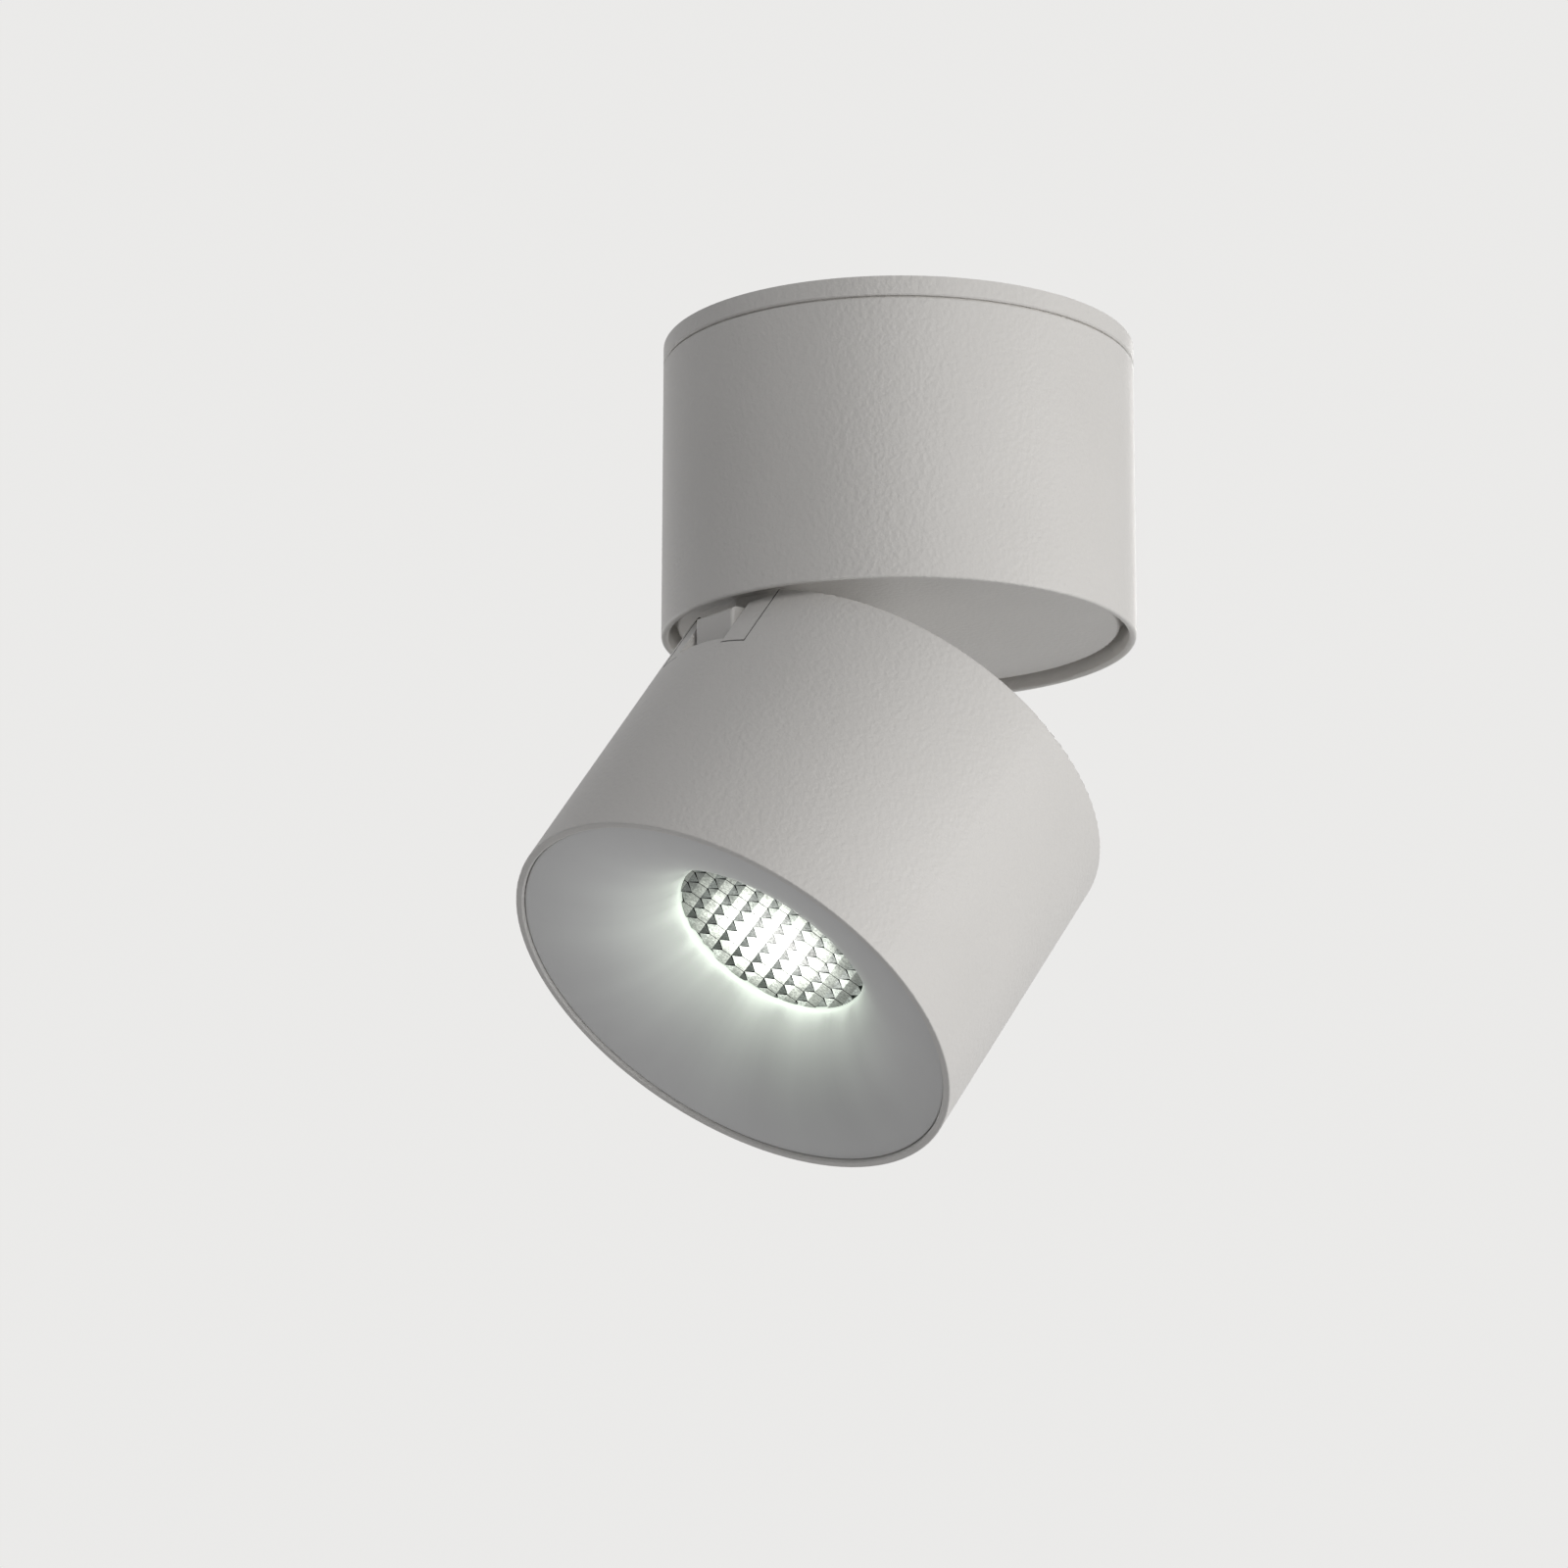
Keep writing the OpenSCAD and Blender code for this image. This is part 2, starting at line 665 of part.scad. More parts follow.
module rear_cover() {
    color("whitesmoke") folded_out() difference() {
        union() {
            difference() {
                translate([0, 0, cover_low]) cylinder(h = cover_t, r = cover_r);
                slot_box(slot_w - 2 * cheek_gap, cheek_depth, hinge_y - over);
            }
            intersection() {
                translate([0, 0, head_front]) cylinder(h = head_len + 2, r = lamp_r - 0.05);
                across_hinge(cheeks_w) cheek_outline(cheek_depth);
            }
            intersection() {
                translate([0, 0, head_front]) cylinder(h = head_len, r = cover_r);
                across_hinge(cheeks_w) cheek_outline(pocket_low + pocket_floor_t);
            }
        }
        pocket(pocket_low);
        difference() {
            slot_box(window_w + 2 * fit_gap, cheek_depth + 1, hinge_y);
            translate([0, 0, head_front]) cylinder(h = head_len + 10, r = cover_r);
        }
        translate([-cheeks_w, hinge_y, hinge_z]) rotate([0, 90, 0])
            cylinder(h = 2 * cheeks_w, r = hinge_r + thread_gap);
        translate([cheeks_w / 2 - bolt_sink, hinge_y, hinge_z]) rotate([0, 90, 0])
            cylinder(h = 2 * bolt_sink, r = hinge_r + 1.7);
        translate([-cheeks_w / 2 + nut_sink, hinge_y, hinge_z]) rotate([0, -90, 0])
            cylinder(h = 2 * nut_sink, r = (hinge_bolt_d + 0.2) / cos(30), $fn = 6);
        around(cover_thirds, post_at) translate([0, 0, cover_low - over])
            cylinder(h = cover_t + 2 * over, r = m3_r + 0.2, $fn = 32);
        translate([0, grommet_at, cover_low - over])
            cylinder(h = cover_t + 2 * over, r = grommet_r);
    }
}

// Room for the cheeks, from the hinge out through the casing's wall
module slot_box(w, depth, y_in) {
    translate([-w / 2, -lamp_r - 5, head_top - depth]) cube([w, lamp_r + 5 + y_in, depth + 5]);
}

// Room for the arm between the cheeks, open to the outside and to the body
module pocket(depth) {
    y_in = hinge_y + knuckle_r + pocket_gap;
    translate([-window_w / 2, -lamp_r - 5, head_top - depth]) cube([window_w, lamp_r + 5 + y_in, depth + 5]);
}

module rear_screws() {
    color("silver") folded_out() around(cover_thirds, post_at) translate([0, 0, cover_top])
        mirror([0, 0, 1]) screw(m3_r, cover_t + 6, m3_head_r, m3_head_h);
}

module wire_grommet() {
    color("dimgray") folded_out() translate([0, grommet_at, cover_low]) difference() {
        union() {
            cylinder(h = cover_t + grommet_lip, r = grommet_r, $fn = 48);
            translate([0, 0, cover_t]) cylinder(h = grommet_lip, r = grommet_r + 1.4, $fn = 48);
        }
        translate([0, 0, -over])
            cylinder(h = cover_t + grommet_lip + 1, r = grommet_r * 0.55, $fn = 48);
    }
}

module hinge_bolt() {
    color("silver") folded_out() translate([cheeks_w / 2 - bolt_sink, hinge_y, hinge_z])
        rotate([0, -90, 0])
            screw(hinge_r, cheeks_w - bolt_sink - nut_sink + nut_h, hinge_r + 1.5, bolt_head_h);
}

module hinge_nut() {
    color("silver") folded_out() translate([nut_sink - nut_h - cheeks_w / 2, hinge_y, hinge_z])
        rotate([0, 90, 0]) difference() {
            cylinder(h = nut_h, r = hinge_bolt_d / cos(30), $fn = 6);
            translate([0, 0, -over]) cylinder(h = nut_h + 2 * over, r = hinge_r + thread_gap, $fn = 48);
        }
}

module hinge_washers() {
    side_gap = (window_w - arm_w) / 2;
    color("dimgray") folded_out() for (side = [-1, 1])
        translate([side * (arm_w / 2 + side_gap / 2), hinge_y, hinge_z]) rotate([0, 90, 0]) difference() {
            cylinder(h = side_gap - fit_gap, r = washer_r, center = true, $fn = 48);
            cylinder(h = side_gap, r = hinge_r + run_gap, center = true, $fn = 48);
        }
}

// Head

module head_casing() {
    color("whitesmoke") folded_out() difference() {
        union() {
            rotate_extrude() ring_section(head_in_r, lamp_r, head_front, head_top,
                0.3, 0.3, edge_round, 0.3);
            rotate_extrude() translate([head_ledge_r, head_ledge_low])
                square([head_in_r - head_ledge_r + over, head_ledge_t]);
        }
        difference() {
            slot_box(slot_w, slot_depth, -lamp_r / 2);
            translate([-window_w / 2, -lamp_r - 6, head_top - slot_depth - 1])
                cube([window_w, lamp_r, slot_depth + 1 - window_depth]);
        }
        across_hinge(window_w) circle(shoulder_way_r);
        around(thirds, sink_screw_at) translate([0, 0, head_ledge_low - over])
            cylinder(h = head_ledge_t + 2 * over, r = m3_r + thread_gap, $fn = 32);
    }
}

module heat_sink() {
    color("lightgray") folded_out() difference() {
        union() {
            translate([0, 0, sink_low]) cylinder(h = sink_t, r = sink_r);
            intersection() {
                translate([0, 0, head_ledge_low - over]) cylinder(h = fin_h + over, r = fin_field_r);
                fins();
            }
            around(cover_thirds, post_at) translate([0, 0, head_ledge_low - over])
                cylinder(h = cover_low - head_ledge_low + over, r = post_r);
        }
        translate([0, 0, head_top - pocket_low - pocket_floor_t - pocket_wall])
            translate([-cheeks_w / 2 - 1, -lamp_r, 0])
                cube([cheeks_w + 2, lamp_r + hinge_y + knuckle_r + pocket_wall + 2, fin_h + 10]);
        around(cover_thirds, post_at) translate([0, 0, cover_low - 8])
            cylinder(h = 8 + over, r = m3_r + thread_gap, $fn = 32);
        around(thirds, sink_screw_at) translate([0, 0, sink_low - over])
            cylinder(h = sink_t + 2 * over, r = m3_r + 0.15, $fn = 32);
        around([0, 180], holder_screw_at) translate([0, 0, sink_low - over])
            cylinder(h = sink_t, r = m2_r + thread_gap, $fn = 32);
    }
}

// Parallel fins across the heat sink
module fins() {
    step = 2 * fin_field_r / fin_count;
    for (i = [0 : fin_count - 1])
        translate([-fin_field_r + (i + 0.5) * step - fin_t / 2, -fin_field_r, head_ledge_low - over])
            cube([fin_t, 2 * fin_field_r, fin_h + over]);
}

module sink_screws() {
    color("silver") folded_out() around(thirds, sink_screw_at)
        translate([0, 0, sink_low]) screw(m3_r, sink_t + head_ledge_t, m3_head_r, m3_head_h);
}

module led_board() {
    color("white") folded_out() translate([-board_w / 2, -board_w / 2, board_low])
        cube([board_w, board_w, board_t]);
}

module led_chip() {
    color("gold") folded_out() translate([0, 0, chip_low]) cylinder(h = chip_t, r = chip_d / 2);
}

module led_holder() {
    pocket_w = board_w + 2 * fit_gap;
    color("white") folded_out() difference() {
        rotate_extrude() ring_section(chip_d / 2 + 1, holder_d / 2, holder_low, sink_low, 0.6, 0.6, 0, 0);
        translate([-pocket_w / 2, -pocket_w / 2, board_low - fit_gap])
            cube([pocket_w, pocket_w, board_t + 1]);
        around([0, 180], holder_screw_at) translate([0, 0, holder_low - over]) {
            cylinder(h = holder_t + 2 * over, r = m2_r + 0.15, $fn = 32);
            cylinder(h = m2_head_h + over, r = m2_head_r + 0.2, $fn = 32);
        }
    }
}

module holder_screws() {
    color("silver") folded_out() around([0, 180], holder_screw_at)
        translate([0, 0, holder_low + m2_head_h])
            screw(m2_r, holder_t - m2_head_h + sink_t - 0.5, m2_head_r, m2_head_h);
}

// Lens

// One cell: a hexagon with a flat middle and two ends that slope to its points, standing on
// z = 0 with its points along X
module lens_cell() {
    r = (cell_pitch - cell_groove) / sqrt(3);
    corners = [for (k = [0 : 5]) [r * cos(60 * k), r * sin(60 * k)]];
    low = [for (p = corners) [p[0], p[1], -0.2]];
    high = [for (k = [0 : 5]) [corners[k][0], corners[k][1], k % 3 == 0 ? cell_h - cell_drop : cell_h]];
    sides = [for (k = [0 : 5]) [k, 6 + k, 6 + (k + 1) % 6, (k + 1) % 6]];
    polyhedron(points = concat(low, high),
        faces = concat([[0, 1, 2, 3, 4, 5], [7, 11, 10, 8], [6, 11, 7], [8, 10, 9]], sides));
}

// The field of cells; those on its edge are cut by the trim's opening
module lens_cells() {
    row = cell_pitch * [cos(cell_turn), sin(cell_turn)];
    column = cell_pitch * [cos(cell_turn + 60), sin(cell_turn + 60)];
    reach = ceil(2 * cell_field_r / cell_pitch);
    half = cell_pitch / sqrt(3);
    for (i = [-reach : reach]) for (j = [-reach : reach]) {
        at = (i + cell_shift_along) * row + (j + cell_shift_across) * column;
        if (norm(at) < cell_field_r - half)
            translate([at[0], at[1], 0]) rotate([0, 0, cell_turn + 30]) lens_cell();
        else if (norm(at) < cell_field_r + half / 2) intersection() {
            translate([at[0], at[1], 0]) rotate([0, 0, cell_turn + 30]) lens_cell();
            translate([0, 0, -cell_h]) cylinder(h = 3 * cell_h, r = cell_field_r);
        }
    }
}

module lens() {
    color("lightcyan") folded_out() {
        translate([0, 0, seat_z]) mirror([0, 0, 1]) lens_cells();
        difference() {
            union() {
                translate([0, 0, seat_z]) cylinder(h = lens_t, r = lens_r);
                translate([0, 0, lens_top - over])
                    cylinder(h = collimator_top - lens_top + over, r1 = collimator_r, r2 = collimator_end_r);
            }
            translate([0, 0, collimator_top - 5]) cylinder(h = 5 + over, r1 = 3, r2 = chip_d / 2 - 0.5);
        }
    }
}

module lens_holder() {
    color("dimgray") folded_out() rotate_extrude() {
        translate([cup_r - cup_wall, lens_top]) square([cup_wall, holder_low - lens_top]);
        translate([collimator_end_r + 2.6, holder_low - cup_floor])
            square([cup_r - collimator_end_r - 2.6 - over, cup_floor]);
    }
}

// Glare trim

// The trim's visible surface is a horn: [radius, depth behind the head's front edge] on one
// smooth curve through four handles, from the lip at 0 to the opening at 1
function horn_handles() = let (lip = trim_r - trim_lip_r, drop = aperture_depth - trim_recess)
    [[lip, 0], [lip - 0.43 * (lip - aperture_r), 0.07 * drop],
     [aperture_r + 0.18 * (lip - aperture_r), 0.42 * drop], [aperture_r, drop]];
function mix(a, b, t) = a * (1 - t) + b * t;
function horn_point(h, t) = let (a = mix(h[0], h[1], t), b = mix(h[1], h[2], t), c = mix(h[2], h[3], t))
    mix(mix(a, b, t), mix(b, c, t), t);
function horn_slope(h, t) = let (a = mix(h[0], h[1], t), b = mix(h[1], h[2], t), c = mix(h[2], h[3], t),
    d = mix(b, c, t) - mix(a, b, t)) d / norm(d);

// The trim's whole section in one outline: horn, lens seat and the sleeve that guides it in the
// head casing, with the rounded lip between them
module trim_cone() {
    steps = 24;
    lip_steps = 8;
    sleeve_t = 1.5;
    sleeve_in_r = trim_r - sleeve_t;
    guide_r = head_in_r - fit_gap;
    guide_from = 5;
    guide_to = 13;
    seat_in_r = lens_r + fit_gap;
    seat_out_r = seat_in_r + 1.4;
    seat_at = aperture_depth - trim_recess;
    socket_to = seat_at + seat_t + lens_t + 0.6;
    handles = horn_handles();
    front = [for (i = [0 : steps]) horn_point(handles, i / steps)];
    back = [for (i = [steps : -1 : 0])
        let (p = horn_point(handles, i / steps), d = horn_slope(handles, i / steps),
            q = p + trim_wall * [d[1], -d[0]])
        if (q[0] < sleeve_in_r - 0.3) q];
    lip = [for (i = [0 : lip_steps - 1])
        let (a = 90 * i / lip_steps)
        [trim_r - trim_lip_r + trim_lip_r * cos(a), trim_lip_r - trim_lip_r * sin(a)]];
    socket = [[aperture_r, seat_at + seat_t], [seat_in_r, seat_at + seat_t], [seat_in_r, socket_to],
        [seat_out_r, socket_to], [seat_out_r, seat_at]];
    sleeve = [[sleeve_in_r, trim_wall + 0.2], [sleeve_in_r, guide_to], [guide_r, guide_to],
        [guide_r, guide_from], [trim_r, guide_from]];
    color("white") folded_out() translate([0, 0, trim_low]) rotate_extrude()
        polygon(concat(front, socket, back, sleeve, lip));
}

base_flange();
cable_grommet();
terminal_block();
bayonet_pins();
body_casing();
carrier_plate();
carrier_screws();
driver_bracket();
bracket_screws();
driver_case();
driver_screws();
swivel_disc();
thrust_washer();
swivel_tube();
spring_washer();
swivel_nut();
stop_pin();
hinge_arm();
arm_screws();
head_casing();
rear_cover();
rear_screws();
wire_grommet();
hinge_bolt();
hinge_nut();
hinge_washers();
heat_sink();
sink_screws();
led_board();
led_chip();
led_holder();
holder_screws();
lens();
lens_holder();
trim_cone();
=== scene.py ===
import json
import math
import bmesh
import bpy
import numpy as np
from mathutils import Euler, Matrix, Vector


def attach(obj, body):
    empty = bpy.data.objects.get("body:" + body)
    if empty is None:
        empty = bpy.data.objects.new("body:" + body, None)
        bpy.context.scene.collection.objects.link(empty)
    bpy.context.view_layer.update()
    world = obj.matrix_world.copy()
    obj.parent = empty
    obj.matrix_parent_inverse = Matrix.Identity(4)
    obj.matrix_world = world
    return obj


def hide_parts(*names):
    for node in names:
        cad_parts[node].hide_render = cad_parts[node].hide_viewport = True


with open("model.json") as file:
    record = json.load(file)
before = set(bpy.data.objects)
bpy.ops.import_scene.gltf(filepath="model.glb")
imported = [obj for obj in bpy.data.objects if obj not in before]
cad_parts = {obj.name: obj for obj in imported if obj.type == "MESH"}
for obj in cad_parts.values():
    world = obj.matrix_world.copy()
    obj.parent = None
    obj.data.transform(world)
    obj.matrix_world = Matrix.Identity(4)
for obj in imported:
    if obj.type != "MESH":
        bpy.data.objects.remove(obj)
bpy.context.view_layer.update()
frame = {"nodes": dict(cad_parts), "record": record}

MM = 0.001
NODES = frame["nodes"]

# Sizes in millimetres and angles in degrees, most of them as the CAD model has them
HEAD_TOP = -64.8
HEAD_FRONT = -133.3
HEAD_IN_R = 48.4
HINGE_Y = -42.0
HINGE_Z = -72.8
TILT = 36.3
WINDOW_W = 15.0
SLOT_W = 27.4
SLOT_DEPTH = 15.5
SEAM_SHADE_W = 0.3
TRIM_R = 48.25
LIP_R = 0.4
TRIM_RECESS = 0.7
APERTURE_R = 21.5
APERTURE_DEPTH = 17.3
SEAT_T = 1.6
LENS_R = 27.0
LENS_T = 2.0
TRIM_WALL = 1.6

# The lens cells: pitch, groove, height, how much lower their tips are, and the lean of their corners.
# The turn and the shifts, in pitches, place their grid as the photo shows it.
CELL_PITCH = 4.7
CELL_GROOVE = 0.24
CELL_H = 0.7
CELL_DROP = 0.2
CELL_LEAN = 0.5
CELL_TURN = 37.5
CELL_SHIFT_ALONG = 0.41
CELL_SHIFT_ACROSS = 0.24
CELL_FIELD_R = 21.4
CELL_CORNER_R = CELL_PITCH / math.sqrt(3)

# The lens's light painted on the trim as emission: its brighter side, a wide part and a narrow one at
# the rim
SPILL_SIDE = 155.0
SPILL_REACH = 7.0
SPILL_PEAK = 0.35
SPILL_RIM = 0.7
RIM_PEAK = 0.6

# Most values of a noise texture lie between these two
NOISE_LOW = 0.3
NOISE_HIGH = 0.7

# Paints, each as a main colour and the one that it clouds to
POWDER_WHITE = (0.74, 0.725, 0.70), (0.715, 0.70, 0.675)
TRIM_WHITE = (0.72, 0.72, 0.715), (0.70, 0.70, 0.695)
# Painted shade along the head casing's slot seam
SEAM_PAINTED_SHADE = (0.06, 0.058, 0.055)
# The tint of the lens's light painted on the trim
SPILL_TINT = (0.86, 0.97, 0.84, 1.0)

# The folded-shut head turned about the hinge to where it hangs
HEAD_POSE = (
    Matrix.Translation(Vector((0, HINGE_Y, HINGE_Z)) * MM)
    @ Matrix.Rotation(math.radians(-TILT), 4, "X")
    @ Matrix.Translation(Vector((0, -HINGE_Y, -HINGE_Z)) * MM)
)


def at_front(depth):
    """The head's own frame: origin on the axis at a depth behind the front edge, Z towards the rear."""
    return HEAD_POSE @ Matrix.Translation(Vector((0, 0, (HEAD_FRONT + depth) * MM)))


# Materials

def new_material(name):
    m = bpy.data.materials.new(name)
    m.use_nodes = True
    nt = m.node_tree
    nt.nodes.clear()
    out = nt.nodes.new("ShaderNodeOutputMaterial")
    shader = nt.nodes.new("ShaderNodeBsdfPrincipled")
    nt.links.new(shader.outputs["BSDF"], out.inputs["Surface"])
    return m, nt, shader


def node(nt, kind, **values):
    n = nt.nodes.new(kind)
    for key, value in values.items():
        if key in n.inputs:
            n.inputs[key].default_value = value
        else:
            setattr(n, key, value)
    return n


def coords(nt):
    return nt.nodes.new("ShaderNodeTexCoord").outputs["Object"]


def noise(nt, vector, size_mm, detail=3.0, rough=0.5):
    """Noise whose features are about size_mm wide."""
    n = node(nt, "ShaderNodeTexNoise", Scale=1.0 / (size_mm * MM), Detail=detail, Roughness=rough)
    nt.links.new(vector, n.inputs["Vector"])
    return n.outputs["Fac"]


def remap(nt, value, a, b, c, d):
    n = nt.nodes.new("ShaderNodeMapRange")
    n.inputs["From Min"].default_value = a
    n.inputs["From Max"].default_value = b
    n.inputs["To Min"].default_value = c
    n.inputs["To Max"].default_value = d
    nt.links.new(value, n.inputs["Value"])
    return n.outputs["Result"]


def spread(nt, noise_value, low, high):
    """A noise brought to the range from low to high."""
    return remap(nt, noise_value, NOISE_LOW, NOISE_HIGH, low, high)


def math_node(nt, op, a, b=None):
    n = nt.nodes.new("ShaderNodeMath")
    n.operation = op
    for k, v in enumerate((a, b)):
        if v is None:
            continue
        if isinstance(v, (int, float)):
            n.inputs[k].default_value = v
        else:
            nt.links.new(v, n.inputs[k])
    return n.outputs[0]


def multiply(nt, a, b):
    return math_node(nt, "MULTIPLY", a, b)


def mix_colour(nt, fac, a, b):
    n = nt.nodes.new("ShaderNodeMix")
    n.data_type = "RGBA"
    if isinstance(fac, (int, float)):
        n.inputs[0].default_value = fac
    else:
        nt.links.new(fac, n.inputs[0])
    for k, v in ((6, a), (7, b)):
        if isinstance(v, tuple):
            n.inputs[k].default_value = v + (1.0,)
        else:
            nt.links.new(v, n.inputs[k])
    return n.outputs[2]


def bump(nt, height, depth_mm, base=None):
    n = node(nt, "ShaderNodeBump", Strength=1.0, Distance=depth_mm * MM)
    nt.links.new(height, n.inputs["Height"])
    if base is not None:
        nt.links.new(base, n.inputs["Normal"])
    return n.outputs["Normal"]


def slot_painted_shade(nt, at):
    """1 on a fine line round the head casing's slot beside the cheeks, where shade is painted on."""
    closed = node(nt, "ShaderNodeMapping")
    back = HEAD_POSE.inverted()
    closed.inputs["Location"].default_value = back.to_translation()
    closed.inputs["Rotation"].default_value = back.to_euler()
    nt.links.new(at, closed.inputs["Vector"])
    split = node(nt, "ShaderNodeSeparateXYZ")
    nt.links.new(closed.outputs[0], split.inputs[0])
    x, y, z = split.outputs
    side = math_node(nt, "ABSOLUTE", x)
    across = math_node(nt, "SUBTRACT", side, SLOT_W / 2 * MM)
    below = math_node(nt, "SUBTRACT", (HEAD_TOP - SLOT_DEPTH) * MM, z)
    from_slot = math_node(nt, "MAXIMUM", across, below)
    on_line = remap(nt, from_slot, SEAM_SHADE_W * MM, 0.6 * SEAM_SHADE_W * MM, 0.0, 1.0)
    in_front = math_node(nt, "LESS_THAN", y, HINGE_Y * MM)
    past_window = math_node(nt, "GREATER_THAN", side, WINDOW_W / 2 * MM)
    return multiply(nt, on_line, multiply(nt, in_front, past_window))


def powder_coat(name, colour, dark, painted_seam_shade=None):
    """Cured powder: orange peel, a fine grain, a few pits and faint clouding of the colour."""
    peel_depth = 0.14
    grain_depth = 0.0308
    pit_depth = 0.04
    pit_spacing = 9.0
    m, nt, s = new_material(name)
    at = coords(nt)
    cloud = noise(nt, at, 30.0, detail=2.0)
    grain = noise(nt, at, 0.35, detail=2.0, rough=0.6)
    peel = noise(nt, at, 1.1, detail=1.5, rough=0.45)
    pits = nt.nodes.new("ShaderNodeTexVoronoi")
    pits.feature = "F1"
    pits.inputs["Scale"].default_value = 1.0 / (pit_spacing * MM)
    nt.links.new(at, pits.inputs["Vector"])
    pit = remap(nt, pits.outputs["Distance"], 0.0, 0.035, 0.0, 1.0)
    paint = mix_colour(nt, spread(nt, cloud, 0.0, 1.0), colour, dark)
    # Painted shade along the slot seam, where one is given
    if painted_seam_shade:
        paint = mix_colour(nt, painted_seam_shade(nt, at), paint, SEAM_PAINTED_SHADE)
    nt.links.new(paint, s.inputs["Base Color"])
    nt.links.new(spread(nt, grain, 0.45, 0.56), s.inputs["Roughness"])
    peeled = bump(nt, peel, peel_depth)
    grained = bump(nt, grain, grain_depth, base=peeled)
    nt.links.new(bump(nt, pit, pit_depth, base=grained), s.inputs["Normal"])
    s.inputs["Specular IOR Level"].default_value = 0.42
    return m


def mould_surface(nt, s, colour, dark, rough, grain_mm=0.5):
    """A moulded or painted face: clouded colour, and a fine grain in gloss and relief."""
    grain_depth = 0.006
    at = coords(nt)
    cloud = noise(nt, at, 18.0, detail=2.0)
    grain = noise(nt, at, grain_mm, detail=2.0)
    nt.links.new(mix_colour(nt, spread(nt, cloud, 0.0, 1.0), colour, dark), s.inputs["Base Color"])
    nt.links.new(spread(nt, grain, *rough), s.inputs["Roughness"])
    nt.links.new(bump(nt, grain, grain_depth), s.inputs["Normal"])


def moulded(name, colour, dark, rough=0.5, grain_mm=0.5):
    m, nt, s = new_material(name)
    mould_surface(nt, s, colour, dark, (rough - 0.04, rough + 0.05), grain_mm)
    return m


def metal(name, colour, dark, rough=0.35):
    """Machined or plated metal with fine lines across its Z axis."""
    line_depth = 0.004
    m, nt, s = new_material(name)
    at = coords(nt)
    stretch = nt.nodes.new("ShaderNodeMapping")
    stretch.inputs["Scale"].default_value = (1.0, 1.0, 12.0)
    nt.links.new(at, stretch.inputs["Vector"])
    lines = noise(nt, stretch.outputs["Vector"], 1.2)
    cloud = noise(nt, at, 12.0)
    nt.links.new(mix_colour(nt, spread(nt, cloud, 0.0, 1.0), colour, dark), s.inputs["Base Color"])
    nt.links.new(spread(nt, lines, rough - 0.08, rough + 0.1), s.inputs["Roughness"])
    nt.links.new(bump(nt, lines, line_depth), s.inputs["Normal"])
    s.inputs["Metallic"].default_value = 1.0
    return m


WHITE = powder_coat("white_powder_coat", *POWDER_WHITE)
HEAD_WHITE = powder_coat("white_head_casing", *POWDER_WHITE, painted_seam_shade=slot_painted_shade)
TRIM = moulded("white_trim", *TRIM_WHITE, rough=0.55)
STEEL = metal("zinc_plate", (0.62, 0.62, 0.63), (0.52, 0.52, 0.54))
ALU = metal("cast_aluminium", (0.72, 0.72, 0.73), (0.62, 0.62, 0.63), rough=0.42)
BRASS = metal("turned_brass", (0.80, 0.62, 0.32), (0.70, 0.52, 0.26), rough=0.3)
NYLON = moulded("dark_nylon", (0.045, 0.045, 0.05), (0.035, 0.035, 0.04), rough=0.45)
RUBBER = moulded("black_rubber", (0.03, 0.03, 0.03), (0.022, 0.022, 0.022), rough=0.8, grain_mm=0.8)
IVORY = moulded("ivory_nylon", (0.72, 0.68, 0.55), (0.68, 0.64, 0.52), rough=0.5)
PLASTIC = moulded("white_housing", (0.7, 0.7, 0.69), (0.67, 0.67, 0.66), rough=0.48)
BOARD = moulded("solder_mask", (0.78, 0.78, 0.76), (0.74, 0.74, 0.72), rough=0.35)
PHOSPHOR = moulded("phosphor", (0.85, 0.68, 0.2), (0.8, 0.62, 0.18), rough=0.3)

FINISH = {
    "powder_white": WHITE,
    "trim_white": TRIM,
    "zinc_steel": STEEL,
    "bare_aluminium": ALU,
    "brass_bare": BRASS,
    "nylon_dark": NYLON,
    "black_rubber": RUBBER,
    "ivory_plastic": IVORY,
    "driver_plastic": PLASTIC,
    "holder_plastic": PLASTIC,
    "board_white": BOARD,
    "phosphor_yellow": PHOSPHOR,
    "lens_clear": PLASTIC,
}
for part in frame["record"]["subparts"]:
    mesh = NODES[part["node"]].data
    mesh.materials.clear()
    finish = HEAD_WHITE if part["node"] == "head_casing" else FINISH[part["material_slot"]]
    mesh.materials.append(finish)


# Geometry helpers

def mesh_object(name, verts, faces, matrix, material, smooth=True):
    mesh = bpy.data.meshes.new(name)
    mesh.from_pydata([tuple(v) for v in verts], [], faces)
    mesh.update()
    mesh.materials.append(material)
    mesh.polygons.foreach_set("use_smooth", [smooth] * len(mesh.polygons))
    ob = bpy.data.objects.new(name, mesh)
    bpy.context.scene.collection.objects.link(ob)
    ob.matrix_world = matrix
    return ob


def lathe(name, outline, steps, matrix, material):
    """A closed outline of (radius, height) in millimetres, turned about Z, with sharp creases kept."""
    crease = math.radians(35.0)
    n = len(outline)
    verts, faces = [], []
    for i in range(steps):
        a = 2 * math.pi * i / steps
        c, s = math.cos(a), math.sin(a)
        verts += [(r * c * MM, r * s * MM, h * MM) for r, h in outline]
    for i in range(steps):
        j = (i + 1) % steps
        for k in range(n):
            after = (k + 1) % n
            faces.append((i * n + k, j * n + k, j * n + after, i * n + after))
    ob = mesh_object(name, verts, faces, matrix, material)
    bm = bmesh.new()
    bm.from_mesh(ob.data)
    bmesh.ops.recalc_face_normals(bm, faces=bm.faces)
    for e in bm.edges:
        if len(e.link_faces) == 2 and e.calc_face_angle() > crease:
            e.smooth = False
    bm.to_mesh(ob.data)
    bm.free()
    return ob


# Glare trim: the CAD model's horn, turned finely, with its lip a little deeper and nearer the casing

